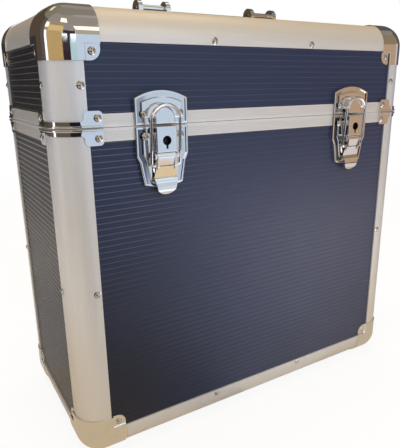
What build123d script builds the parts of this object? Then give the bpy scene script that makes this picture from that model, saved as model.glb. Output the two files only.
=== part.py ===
from build123d import *
import os
from math import sqrt

# Record carrying case: ribbed board panels held in rounded aluminium edge extrusions, chrome
# corner caps and corner braces, two key-lock draw latches in front, two butt hinges behind and a
# fold-down handle on the lid.  Millimetres, +Z up, the front faces -Y.  The origin is the centre
# of the footprint, on the plane that the bottom caps stand on.

os.makedirs("parts", exist_ok=True)

# ---- driving dimensions --------------------------------------------------------------------------

case_w = 350.0            # over the edge extrusions, left to right
case_d = 166.0            # over the edge extrusions, front to back
case_h = 350.0            # over the edge extrusions, bottom to top
lid_h = 80.5              # from the joint up to the top
joint_gap = 0.3           # between the closed lid and the base

edge_r = 20.0             # outer radius of the edge extrusion
edge_flat = 4.0           # flat flange beside the radius
lip_t = 1.4               # outer wall of the extrusions
leg_t = 1.2               # inner leg of the extrusions
slot_deep = 8.0           # depth of the panel slots
slot_fit = 0.1            # play of a panel in its slot, each side

panel_t = 5.0             # board panels
rib_pitch = 4.5           # spacing of the grooves in the panels
rib_deep = 0.3            # depth of a groove
rib_wide = 0.7            # width of a groove at the face

rim_h = 9.6               # height of each rim strip beside the joint
reed_pitch = 1.6          # fine grooves along the rim strips
reed_wide = 0.5
reed_deep = 0.3
tongue_h = 4.5            # upstand of the base rim that the lid closes over
tongue_t = 1.2
tongue_gap = 0.5          # between the tongue and the lid's inner leg

lining_t = 2.5            # padded lining
lining_round = 6.0        # its outer corners
lining_fit = 0.1          # between the lining and the extrusions' inner legs

sheet_t = 1.0             # pressed sheet of caps and braces
cap_reach = 36.0          # how far a cap runs from the outer faces
cap_round = 7.5           # radius of a cap's free corner
pocket_gap = 0.3          # between the flange edge and the pocket that steps onto the panel
pocket_wall = 1.2
pocket_bend = 0.7         # radius of the pressed step, outside

brace_reach = 34.0        # how far a joint brace runs from the corner
brace_band = 4.4          # height of its band round the corner
brace_tab = 11.4          # height of its two tabs
brace_lip = 1.5           # height of its rolled lip
brace_lip_out = 0.8       # how far the lip stands out past the sheet
brace_lip_round = 0.5
brace_from = 0.5          # edge of a brace from its own side of the joint
brace_tab_gap = 0.5       # from the post's radius to the tab
brace_tab_round = 3.0     # free corners of a tab
brace_shoulder = 2.6      # hollow corner where a tab leaves the band

rivet_r = 2.8             # flange of a rivet head
rivet_flange = 0.45
rivet_dome_r = 2.1
rivet_rise = 1.4
rivet_in = 30.0           # cap rivets, from both outer faces
post_rivet_in = 20.5      # post rivets, from the post's outer faces
post_rivet_drop = 51.7    # lid post rivets, below the top
post_rivet_share = 0.544  # base post rivets, share of the base's height
brace_rivet_in = 30.3
brace_rivet_off = 7.0
rail_rivet_share = 0.14   # long rail rivets, share of the width from the centre
rail_rivet_in = 20.8
plate_rivet_x = 14.6
plate_rivet_z = -7.8
keeper_rivet_z = 8.4
hinge_rivet_x = 13.0
hinge_rivet_z = 18.0
foot_rivet_x = 18.6

latch_x = 0.28 * case_w   # centre of each latch and hinge from the case's centre
latch_shift = 1.8         # both latches sit this far to the right
plate_w = 43.0            # latch plate and keeper
plate_t = 1.2
plate_rise = 2.8          # raised face of both plates
bead_rise = 2.0           # rolled border of both plates
bead_w = 1.7
bead_round = 0.8          # rolled edge of the border
face_inset = 4.2          # from the border's outer edge to the raised face
face_slope = 20.0         # lean of the raised face's sides
face_round = 0.6
plate_top = -0.7          # latch plate, measured from the joint
plate_shoulder = -22.0
plate_waist = (19.0, -27.0)
plate_foot = (16.0, -44.0)
plate_bow = 2.0           # bow of the plate's lower edge
keeper_low = 0.45
keeper_shoulder = 19.5
keeper_crown = 25.0

lock_w = 17.1             # lock housing
lock_top = -0.5
lock_low = -19.4
lock_rise = 9.2
lock_wall = 1.2
lock_round = 0.9
key_z = -10.8             # keyhole
key_r = 3.5
key_slot_w = 1.7
key_slot_drop = 2.5       # slot below the round

boss_w = 16.5             # hook boss that the bail goes round
boss_low = 1.0
boss_top = 13.0
boss_rise = 7.5
boss_round = 1.1

pivot_rise = 6.0          # lever pivot, out from the front face
pivot_z = -22.3           # lever pivot, from the joint
pivot_r = 1.1
knuckle_r = 2.6
ear_t = 1.3
ear_gap = 0.45            # between the lever and each ear
lever_w = 15.7            # lever at its pivot
lever_wide = 19.3         # lever at its widest
lever_wide_z = -39.0
lever_tip_w = 14.8
lever_tip_z = -51.7
lever_skin = 1.5
valley_rise = 4.8         # outer skin of the lever where it lies closest to the plate
swell_rise = 7.0          # and where the finger end swells out
valley_z = -38.0
swell_z = -46.5
flare_from = 4.2          # start of the lever's flare, below its pivot
tip_shoulder_up = 3.7     # start of the round tip
cheek_t = 1.4
cheek_foot_up = 3.0       # end of a cheek, above the valley

wire_r = 1.2              # bail wire
bail_foot_rise = 5.7      # bail pivot, out from the front face
bail_foot_z = -29.3       # bail pivot, from the joint
bail_head_rise = 9.15     # wire centre at the top of the arch
bail_head_z = 15.0
bail_arch_r = 11.7
bail_bend_r = 1.9
run_fit = 0.08            # radial running clearance of the pivots
seat_fit = 0.02           # radial clearance of a pin that stays in its hole

hinge_w = 40.0
hinge_leaf_h = 26.0       # top edge of a leaf from the joint
hinge_leaf_t = 1.5
hinge_axis_out = 4.0      # hinge axis behind the back face
hinge_knuckle_r = 3.2
hinge_pin_r = 1.5
hinge_knuckles = 5
hinge_side_gap = 0.3
hinge_leaf_round = 2.0
hinge_leaf_gap = 0.8      # from the knuckle to the flat leaf
hinge_lap = 3.0           # how far a knuckle's root runs along its leaf
hinge_root = 2.0

bracket_x = 0.166 * case_w    # handle bracket from the handle's centre
handle_shift = -2.8       # the handle's centre sits this far to the left
ear_out = 15.0            # outer face of a bracket ear from the bracket's centre
bracket_ear_t = 4.0
bracket_ear_d = 14.0
bracket_ear_h = 17.0      # over the edge extrusions' top
bracket_foot_w = 44.0
bracket_foot_d = 20.0
bracket_foot_round = 3.0
handle_axis_h = 10.5      # handle pivot over the edge extrusions' top
handle_pin_r = 2.0
handle_pin_proud = 0.6    # riveted end past the bracket ear
handle_knuckle_r = 3.1
handle_side_gap = 0.3
strap_t = 3.0
strap_w = 12.0
strap_neck = (4.0, 10.0)  # where the strap narrows, from its pivot
handle_reach = 25.0       # grip centre behind the pivot when folded
grip_centre_h = 5.8       # grip centre over the edge extrusions' top when folded
grip_len = 0.377 * case_w
grip_wide = 22.0
grip_thick = 10.8
grip_round = 5.0
grip_end_round = 3.5
core_w = 10.0             # strap inside the grip

# ---- derived places ------------------------------------------------------------------------------

half_w = case_w / 2
half_d = case_d / 2
frame_low = sheet_t                       # caps are the only thing that touches the ground
frame_top = frame_low + case_h
joint_z = frame_top - lid_h
edge_w = edge_r + edge_flat               # face width of an edge extrusion
panel_in = lip_t + slot_fit               # panel face below the extrusions' face
slot_w = panel_t + 2 * slot_fit
leg_in = lip_t + slot_w + leg_t           # inner faces of the extrusions
slot_end = edge_w - slot_deep
lining_in = leg_in + lining_fit
lid_low = joint_z + joint_gap
tol = 0.01                                # for telling edges by their place
sides = (-1, 1)
corners = [(sx, sy) for sx in sides for sy in sides]
corner_names = {(-1, -1): "front_left", (1, -1): "front_right",
                (-1, 1): "back_left", (1, 1): "back_right"}


def save(builder, name):
    """Label a finished piece and write it to its own file."""
    builder.part.label = name
    export_step(builder.part, f"parts/{name}.step")


def corner_plane(origin, u, v):
    """A plane whose x and y run along u and v, both into the case."""
    return Plane(origin=origin, x_dir=u, z_dir=Vector(*u).cross(Vector(*v)))


# ---- edge extrusion ------------------------------------------------------------------------------


chamber_end = slot_end - leg_t
chamber_r = edge_r - lip_t
chamber_tip = edge_r - sqrt(chamber_r**2 - (edge_r - lip_t - slot_w) ** 2) + leg_t
with BuildSketch() as chamber:
    with BuildLine():
        Polyline((chamber_tip, 0), (chamber_end, 0), (chamber_end, lip_t + slot_w),
                 (chamber_tip, lip_t + slot_w), close=True)
    make_face()
    with Locations((edge_r, edge_r)):
        Circle(chamber_r, mode=Mode.INTERSECT)

# rounded corner section, with a slot for each of two panels and two hollow chambers
slot_far = lip_t + slot_w
with BuildSketch() as edge_section:
    with BuildLine():
        Line((edge_w, 0), (edge_r, 0))
        RadiusArc((edge_r, 0), (0, edge_r), edge_r)
        Polyline(
            (0, edge_r), (0, edge_w), (lip_t, edge_w), (lip_t, slot_end), (slot_far, slot_end),
            (slot_far, edge_w), (leg_in, edge_w), (leg_in, leg_in), (edge_w, leg_in),
            (edge_w, slot_far), (slot_end, slot_far), (slot_end, lip_t), (edge_w, lip_t),
            (edge_w, 0),
        )
    make_face()
    add(chamber.sketch, mode=Mode.SUBTRACT)
    add(chamber.sketch.mirror(Plane(origin=(0, 0, 0), z_dir=(1, -1, 0))), mode=Mode.SUBTRACT)


def edge_length(mid, u, v, length):
    """A straight length of edge extrusion centred on mid, its panels running along u and v."""
    with BuildPart() as extrusion:
        with BuildSketch(corner_plane(mid, u, v)):
            add(edge_section.sketch)
        extrude(amount=length / 2, both=True)
    return extrusion


post_low = frame_low + edge_w
post_top = frame_top - edge_w
for sx, sy in corners:
    low_mid = (sx * half_w, sy * half_d, (post_low + joint_z) / 2)
    post = edge_length(low_mid, (-sx, 0, 0), (0, -sy, 0), joint_z - post_low)
    save(post, f"base_post_{corner_names[(sx, sy)]}")

with BuildPart() as lid_posts:
    for sx, sy in corners:
        mid = (sx * half_w, sy * half_d, (lid_low + post_top) / 2)
        with BuildSketch(corner_plane(mid, (-sx, 0, 0), (0, -sy, 0))):
            add(edge_section.sketch)
        extrude(amount=(post_top - lid_low) / 2, both=True)
save(lid_posts, "lid_posts")

for shell, z, up in (("base_bottom", frame_low, 1), ("lid_top", frame_top, -1)):
    for side, sy in (("front", -1), ("back", 1)):
        rail = edge_length((0, sy * half_d, z), (0, -sy, 0), (0, 0, up), case_w - 2 * edge_w)
        save(rail, f"{shell}_edge_{side}")
    for side, sx in (("left", -1), ("right", 1)):
        rail = edge_length((sx * half_w, 0, z), (-sx, 0, 0), (0, 0, up), case_d - 2 * edge_w)
        save(rail, f"{shell}_edge_{side}")


# ---- rim strips ----------------------------------------------------------------------------------


rim_web = rim_h - slot_deep               # web that closes a rim strip at the joint


def rim_section(is_lid, with_tongue):
    """Channel over a panel's edge; x runs into the case and y away from the joint."""
    start = joint_gap if is_lid else 0.0
    with BuildSketch() as section:
        with BuildLine():
            Polyline((0, start), (leg_in, start), (leg_in, rim_h), (leg_in - leg_t, rim_h),
                     (leg_in - leg_t, rim_web), (lip_t, rim_web), (lip_t, rim_h), (0, rim_h),
                     close=True)
        make_face()
        reeds = int((rim_h - 2 * reed_pitch) // reed_pitch) + 1
        with Locations(*[(0, rim_h - reed_pitch * (n + 1)) for n in range(reeds)]):
            Rectangle(2 * reed_deep, reed_wide, mode=Mode.SUBTRACT)
        if with_tongue:
            tongue_in = leg_in + tongue_gap
            with BuildLine():
                Polyline((leg_in, 0), (tongue_in, 0), (tongue_in, -tongue_h),
                         (tongue_in + tongue_t, -tongue_h), (tongue_in + tongue_t, rim_web),
                         (leg_in, rim_web), close=True)
            make_face()
    return section.sketch


def rim_length(mid, u, is_lid, length, with_tongue):
    """A rim strip on the wall whose inward direction is u."""
    away = (0, 0, 1) if is_lid else (0, 0, -1)
    with BuildPart() as strip:
        with BuildSketch(corner_plane(mid, u, away)):
            add(rim_section(is_lid, with_tongue))
        extrude(amount=length / 2, both=True)
    return strip


walls = {"front": ((0, -half_d), (0, 1, 0), case_w - 2 * edge_w),
         "back": ((0, half_d), (0, -1, 0), case_w - 2 * edge_w),
         "left": ((-half_w, 0), (1, 0, 0), case_d - 2 * edge_w),
         "right": ((half_w, 0), (-1, 0, 0), case_d - 2 * edge_w)}
for side, (place, inward, length) in walls.items():
    for shell in ("base", "lid"):
        is_lid = shell == "lid"
        has_tongue = not is_lid and side != "back"
        strip = rim_length((*place, joint_z), inward, is_lid, length, has_tongue)
        save(strip, f"{shell}_rim_{side}")

# ---- panels --------------------------------------------------------------------------------------


def ribbed_section(span):
    """Board section: x from the outer face inward, y across the grooves, centred."""
    grooves = int(span // rib_pitch)
    first = -(grooves - 1) * rib_pitch / 2
    with BuildSketch() as section:
        with Locations((panel_t / 2, 0)):
            Rectangle(panel_t, span)
        with Locations(*[(0, first + rib_pitch * n) for n in range(grooves)]):
            Rectangle(2 * rib_deep, rib_wide, mode=Mode.SUBTRACT)
    return section.sketch


def ribbed_panel(centre, inward, across, span, length):
    """A board with grooves; across is the direction that the grooves follow one another in."""
    with BuildPart() as board:
        with BuildSketch(corner_plane(centre, inward, across)):
            add(ribbed_section(span))
        extrude(amount=length / 2, both=True)
    return board


panel_end = slot_end + slot_fit           # panel edge from the outer faces at an extrusion
rim_panel_end = rim_h - slot_deep + slot_fit
wall_low = frame_low + panel_end
wall_top = joint_z - rim_panel_end
lid_wall_low = joint_z + rim_panel_end
lid_wall_top = frame_top - panel_end
for side, (place, inward, _) in walls.items():
    along = case_w if side in ("front", "back") else case_d
    face = [p + panel_in * d for p, d in zip(place, inward)]
    for shell, low, top in (("base", wall_low, wall_top), ("lid", lid_wall_low, lid_wall_top)):
        board = ribbed_panel((*face, (low + top) / 2), inward, (0, 0, 1), top - low,
                             along - 2 * panel_end)
        save(board, f"{shell}_panel_{side}")

for name, z, inward in (("base_panel_bottom", frame_low + panel_in, (0, 0, 1)),
                        ("lid_panel_top", frame_top - panel_in, (0, 0, -1))):
    board = ribbed_panel((0, 0, z), inward, (0, 1, 0), case_d - 2 * panel_end,
                         case_w - 2 * panel_end)
    save(board, name)

# ---- padded linings ------------------------------------------------------------------------------


def lining_tray(closed_z, open_z):
    """An open tray of padding between the inner legs, its floor at closed_z."""
    out_w = case_w - 2 * lining_in
    out_d = case_d - 2 * lining_in
    way = 1 if open_z > closed_z else -1
    with BuildPart() as tray:
        with BuildSketch(Plane.XY.offset(closed_z)):
            RectangleRounded(out_w, out_d, lining_round)
        extrude(amount=abs(open_z - closed_z) * way)
        with BuildSketch(Plane.XY.offset(closed_z + way * lining_t)):
            RectangleRounded(out_w - 2 * lining_t, out_d - 2 * lining_t, lining_round - lining_t)
        extrude(amount=(abs(open_z - closed_z) + 1) * way, mode=Mode.SUBTRACT)
    return tray


base_lining = lining_tray(frame_low + lining_in, joint_z - rim_web - lining_fit)
save(base_lining, "base_lining")
lid_lining_low = joint_z + tongue_h + 2 * tongue_gap
lid_lining = lining_tray(frame_top - lining_in, lid_lining_low)
save(lid_lining, "lid_lining")

# ---- corner caps ---------------------------------------------------------------------------------

pocket_from = edge_w + pocket_gap
with BuildPart() as cap:
    # the sheet follows the rounded corner of the case, here with its corner at the origin
    span = cap_reach + sheet_t
    with BuildSketch(Plane.XY.offset(-sheet_t)):
        with Locations((-sheet_t, -sheet_t)):
            Rectangle(span, span, align=(Align.MIN, Align.MIN))
    extrude(amount=span)
    at_corner = cap.edges().filter_by(
        lambda e: (e.center() - Vector(-sheet_t, -sheet_t, -sheet_t)).length < span / 2 + tol)
    fillet(at_corner, radius=edge_r + sheet_t)
    with BuildPart(mode=Mode.PRIVATE) as cap_core:
        with BuildSketch(Plane.XY):
            Rectangle(span, span, align=(Align.MIN, Align.MIN))
        extrude(amount=span)
        at_corner = cap_core.edges().filter_by(lambda e: e.center().length < span / 2 + tol)
        fillet(at_corner, radius=edge_r)
    add(cap_core.part, mode=Mode.SUBTRACT)
    # on each face a square pocket steps down onto the panel and takes a rivet
    for face in (Plane.XY, Plane.YZ, Plane.ZX):
        with BuildSketch(face.offset(-sheet_t)):
            with Locations((pocket_from, pocket_from)):
                Rectangle(cap_reach - pocket_from, cap_reach - pocket_from,
                          align=(Align.MIN, Align.MIN))
        extrude(amount=panel_in + sheet_t)
    for face in (Plane.XY, Plane.YZ, Plane.ZX):
        with BuildSketch(face.offset(-sheet_t)):
            with Locations((pocket_from + pocket_wall, pocket_from + pocket_wall)):
                Rectangle(cap_reach, cap_reach, align=(Align.MIN, Align.MIN))
        extrude(amount=panel_in, mode=Mode.SUBTRACT)
    free = cap.edges().filter_by(lambda e: sorted(round(c, 3) for c in e.center())[1:]
                                 == [cap_reach, cap_reach])
    fillet(free, radius=cap_round)
    # the press leaves each step with a soft shoulder
    shoulder = cap.edges().filter_by(
        lambda e: round(min(e.center()), 3) == -sheet_t
        and round(sorted(e.center())[1], 3) == pocket_from + pocket_wall
        and e.length < span - pocket_from)
    fillet(shoulder, radius=pocket_bend)

cap_at_corner = cap.part.moved(Location((-half_w, -half_d, frame_low)))
mid_height = Plane.XY.offset((frame_low + frame_top) / 2)
with BuildPart() as base_caps:
    add(cap_at_corner)
    mirror(about=Plane.YZ)
    mirror(about=Plane.XZ)
save(base_caps, "base_corner_caps")
with BuildPart() as lid_caps:
    add(cap_at_corner.mirror(mid_height))
    mirror(about=Plane.YZ)
    mirror(about=Plane.XZ)
save(lid_caps, "lid_corner_caps")

# ---- braces round the corners at the joint ---------------------------------------------------------


def wrap(out):
    """Plan of a strip of sheet bent round a corner post, out wide, corner at the origin."""
    with BuildSketch() as strip:
        with BuildLine():
            Line((brace_reach, 0), (edge_r, 0))
            RadiusArc((edge_r, 0), (0, edge_r), edge_r)
            Polyline((0, edge_r), (0, brace_reach), (-out, brace_reach), (-out, edge_r))
            RadiusArc((-out, edge_r), (edge_r, -out), -(edge_r + out))
            Polyline((edge_r, -out), (brace_reach, -out), (brace_reach, 0))
        make_face()
    return strip.sketch


tab_start = edge_r + brace_tab_gap
with BuildPart() as brace:
    with BuildSketch():
        add(wrap(sheet_t))
    extrude(amount=brace_tab)
    with BuildSketch(Plane.XY.offset(brace_band)):
        with Locations((tab_start, tab_start)):
            Rectangle(2 * edge_w, 2 * edge_w, align=(Align.MAX, Align.MAX))
    extrude(amount=brace_tab, mode=Mode.SUBTRACT)
    top_corners = brace.edges().filter_by(
        lambda e: abs(e.center().Z - brace_tab) < tol and abs(e.length - sheet_t) < tol)
    fillet(top_corners, radius=brace_tab_round)
    shoulders = brace.edges().filter_by(
        lambda e: abs(e.center().Z - brace_band) < tol and abs(e.length - sheet_t) < tol
        and abs(max(e.center().X, e.center().Y) - tab_start) < tol)
    fillet(shoulders, radius=brace_shoulder)
    with BuildPart(mode=Mode.PRIVATE) as lip:
        with BuildSketch():
            add(wrap(sheet_t + brace_lip_out))
        extrude(amount=brace_lip)
        rolled = lip.edges().filter_by(
            lambda e: min(e.center().X, e.center().Y) < -sheet_t - tol
            and abs(e.center().Z - brace_lip / 2) > tol)
        fillet(rolled, radius=brace_lip_round)
    add(lip.part)

brace_lid = brace.part.moved(Location((-half_w, -half_d, joint_z + brace_from)))
brace_base = brace.part.mirror(Plane.XY).moved(Location((-half_w, -half_d, joint_z - brace_from)))
for shell, one in (("lid", brace_lid), ("base", brace_base)):
    with BuildPart() as braces:
        add(one)
        mirror(about=Plane.YZ)
        mirror(about=Plane.XZ)
    save(braces, f"{shell}_corner_braces")

# ---- rivets --------------------------------------------------------------------------------------

dome_up = rivet_rise - rivet_flange
dome_r = (rivet_dome_r**2 + dome_up**2) / (2 * dome_up)
with BuildPart() as rivet:
    with BuildSketch(Plane.XZ):
        with BuildLine():
            Polyline((0, rivet_rise), (0, 0), (rivet_r, 0), (rivet_r, rivet_flange / 2),
                     (rivet_dome_r, rivet_flange))
            RadiusArc((rivet_dome_r, rivet_flange), (0, rivet_rise), -dome_r)
        make_face()
    revolve(axis=Axis.Z)

pocket_top = panel_in - sheet_t           # pocket floor's outer face, below the extrusions
lid_post_rivet_z = frame_top - post_rivet_drop
base_post_rivet_z = frame_low + post_rivet_share * (joint_z - frame_low)
rail_rivet_x = rail_rivet_share * case_w
latch_centres = [s * latch_x + latch_shift for s in sides]
bracket_centres = [s * bracket_x + handle_shift for s in sides]


def front_back(x, z, out):
    """Rivet seats on the front and the back, out from the extrusions' face."""
    return [Plane(origin=(x, sy * (half_d + out), z), z_dir=(0, sy, 0)) for sy in sides]


def left_right(y, z, out):
    """Rivet seats on both sides, out from the extrusions' face."""
    return [Plane(origin=(sx * (half_w + out), y, z), z_dir=(sx, 0, 0)) for sx in sides]


def shell_rivets(cap_z, cap_face, cap_way, brace_z, post_z, rail_z):
    """The rivets of one half of the case: caps, braces, posts and long rails."""
    seats = []
    for s in sides:
        seats += front_back(s * (half_w - rivet_in), cap_z, -pocket_top)
        seats += left_right(s * (half_d - rivet_in), cap_z, -pocket_top)
        seats += [Plane(origin=(s * (half_w - rivet_in), t * (half_d - rivet_in), cap_face),
                        z_dir=(0, 0, cap_way)) for t in sides]
        seats += front_back(s * (half_w - brace_rivet_in), brace_z, sheet_t)
        seats += left_right(s * (half_d - brace_rivet_in), brace_z, sheet_t)
        seats += front_back(s * (half_w - post_rivet_in), post_z, 0)
        seats += left_right(s * (half_d - post_rivet_in), post_z, 0)
        seats += front_back(s * rail_rivet_x, rail_z, 0)
    return seats


lid_seats = shell_rivets(frame_top - rivet_in, frame_top - pocket_top, 1,
                         joint_z + brace_rivet_off, lid_post_rivet_z, frame_top - rail_rivet_in)
base_seats = shell_rivets(frame_low + rivet_in, frame_low + pocket_top, -1,
                          joint_z - brace_rivet_off, base_post_rivet_z,
                          frame_low + rail_rivet_in)
for sx, latch_mid in zip(sides, latch_centres):
    for dx in (-plate_rivet_x, plate_rivet_x):
        at = latch_mid + dx
        lid_seats.append(Plane(origin=(at, -half_d - plate_rise, joint_z + keeper_rivet_z),
                               z_dir=(0, -1, 0)))
        base_seats.append(Plane(origin=(at, -half_d - plate_rise, joint_z + plate_rivet_z),
                                z_dir=(0, -1, 0)))
    for dx in (-hinge_rivet_x, hinge_rivet_x):
        at = sx * latch_x + dx
        for seats, z in ((lid_seats, hinge_rivet_z), (base_seats, -hinge_rivet_z)):
            seats.append(Plane(origin=(at, half_d + hinge_leaf_t, joint_z + z), z_dir=(0, 1, 0)))
for bracket_mid in bracket_centres:
    for dx in (-foot_rivet_x, foot_rivet_x):
        lid_seats.append(Plane(origin=(bracket_mid + dx, 0, frame_top), z_dir=(0, 0, 1)))

for shell, seats in (("lid", lid_seats), ("base", base_seats)):
    with BuildPart() as rivets:
        with Locations(*seats):
            add(rivet.part)
    save(rivets, f"{shell}_rivets")

# ---- latches -------------------------------------------------------------------------------------


def latch_front(x):
    """Front view at a latch: x to the right, y up from the joint, z out of the case."""
    return Plane(origin=(x, -half_d, joint_z), x_dir=(1, 0, 0), z_dir=(0, -1, 0))


def latch_side(x):
    """Side view at a latch: x out of the case, y up from the joint."""
    return Plane(origin=(x, -half_d, joint_z), x_dir=(0, -1, 0), z_dir=(-1, 0, 0))


def plate_outline():
    """Latch plate: square at the top, drawn in to a narrow bowed foot."""
    half = plate_w / 2
    wx, wz = plate_waist
    fx, fz = plate_foot
    with BuildSketch() as outline:
        with BuildLine():
            Polyline((-fx, fz), (-wx, wz), (-half, plate_shoulder), (-half, plate_top),
                     (half, plate_top), (half, plate_shoulder), (wx, wz), (fx, fz))
            ThreePointArc((fx, fz), (0, fz - plate_bow), (-fx, fz))
        make_face()
    return outline.sketch


def keeper_outline():
    """Keeper plate: square at the joint with an arched crown."""
    half = plate_w / 2
    with BuildSketch() as outline:
        with BuildLine():
            Polyline((-half, keeper_shoulder), (-half, keeper_low), (half, keeper_low),
                     (half, keeper_shoulder))
            ThreePointArc((half, keeper_shoulder), (0, keeper_crown), (-half, keeper_shoulder))
        make_face()
    return outline.sketch


def pressed_plate(view, outline, skirt_y):
    """Sheet with a rolled border and a raised face, and a skirt round its far end."""
    with BuildPart() as blank:
        with BuildSketch(view):
            add(outline)
        extrude(amount=bead_rise)
        fillet(blank.faces().sort_by(Axis.Y)[0].edges(), radius=bead_round)
        with BuildSketch(view.offset(plate_t)):
            add(outline)
            offset(amount=-bead_w, mode=Mode.REPLACE)
        extrude(amount=plate_rise, mode=Mode.SUBTRACT)
        with BuildPart(mode=Mode.PRIVATE) as boss:
            with BuildSketch(view):
                add(outline)
                offset(amount=-face_inset, mode=Mode.REPLACE)
            extrude(amount=plate_rise, taper=face_slope)
            fillet(boss.faces().sort_by(Axis.Y)[0].edges(), radius=face_round)
        add(boss.part)
        # the skirt carries the plate's far end, where the panel lies below the rim strip
        with BuildSketch(view.offset(-panel_in)):
            add(outline)
            offset(amount=-face_inset, mode=Mode.SUBTRACT)
            with Locations((0, skirt_y)):
                Rectangle(2 * plate_w, 4 * rim_h, mode=Mode.INTERSECT)
        extrude(amount=panel_in)
    return blank.part


skirt_mid = 3 * rim_h + slot_fit          # middle of the band below or above the rim strip
ear_in = lever_w / 2 + ear_gap
for side, latch_mid in zip(("left", "right"), latch_centres):
    front = latch_front(latch_mid)
    profile = latch_side(latch_mid)
    with BuildPart() as plate:
        add(pressed_plate(front, plate_outline(), -skirt_mid))
        for s in sides:
            with BuildSketch(profile.offset(s * (ear_in + ear_t / 2))):
                with Locations((pivot_rise, pivot_z)):
                    Circle(knuckle_r)
                with Locations(((plate_t + pivot_rise) / 2, pivot_z)):
                    Rectangle(pivot_rise - plate_t, 2 * knuckle_r)
                with Locations((pivot_rise, pivot_z)):
                    Circle(pivot_r + seat_fit, mode=Mode.SUBTRACT)
            extrude(amount=ear_t / 2, both=True)
    save(plate, f"latch_plate_{side}")

    with BuildPart() as lock:
        with BuildSketch(front.offset(plate_rise)):
            with Locations((0, (lock_top + lock_low) / 2)):
                Rectangle(lock_w, lock_top - lock_low)
        extrude(amount=lock_rise - plate_rise)
        outer = lock.edges().filter_by(Axis.Y) + lock.faces().sort_by(Axis.Y)[0].edges()
        fillet(outer, radius=lock_round)
        with BuildSketch(front.offset(plate_rise)):
            with Locations((0, (lock_top + lock_low) / 2)):
                Rectangle(lock_w - 2 * lock_wall, lock_top - lock_low - 2 * lock_wall)
        extrude(amount=lock_rise - plate_rise - lock_wall, mode=Mode.SUBTRACT)
        with BuildSketch(front.offset(lock_rise)):
            with Locations((0, key_z)):
                Circle(key_r)
            with Locations((0, key_z)):
                Rectangle(key_slot_w, key_r + key_slot_drop, align=(Align.CENTER, Align.MAX))
        extrude(amount=-2 * lock_wall, mode=Mode.SUBTRACT)
    save(lock, f"lock_housing_{side}")

    with BuildPart() as keeper:
        add(pressed_plate(front, keeper_outline(), skirt_mid))
        with BuildSketch(front.offset(plate_t)):
            with BuildLine():
                spring = boss_top - boss_w / 2
                Polyline((-boss_w / 2, spring), (-boss_w / 2, boss_low), (boss_w / 2, boss_low),
                         (boss_w / 2, spring))
                ThreePointArc((boss_w / 2, spring), (0, boss_top), (-boss_w / 2, spring))
            make_face()
        extrude(amount=boss_rise - plate_t)
        fillet(keeper.faces().sort_by(Axis.Y)[0].edges(), radius=boss_round)
    save(keeper, f"latch_keeper_{side}")

with BuildPart() as pivots:
    for latch_mid in latch_centres:
        with BuildSketch(latch_side(latch_mid)):
            with Locations((pivot_rise, pivot_z)):
                Circle(pivot_r)
        extrude(amount=ear_in + ear_t, both=True)
save(pivots, "latch_pivot_pins")

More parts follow.
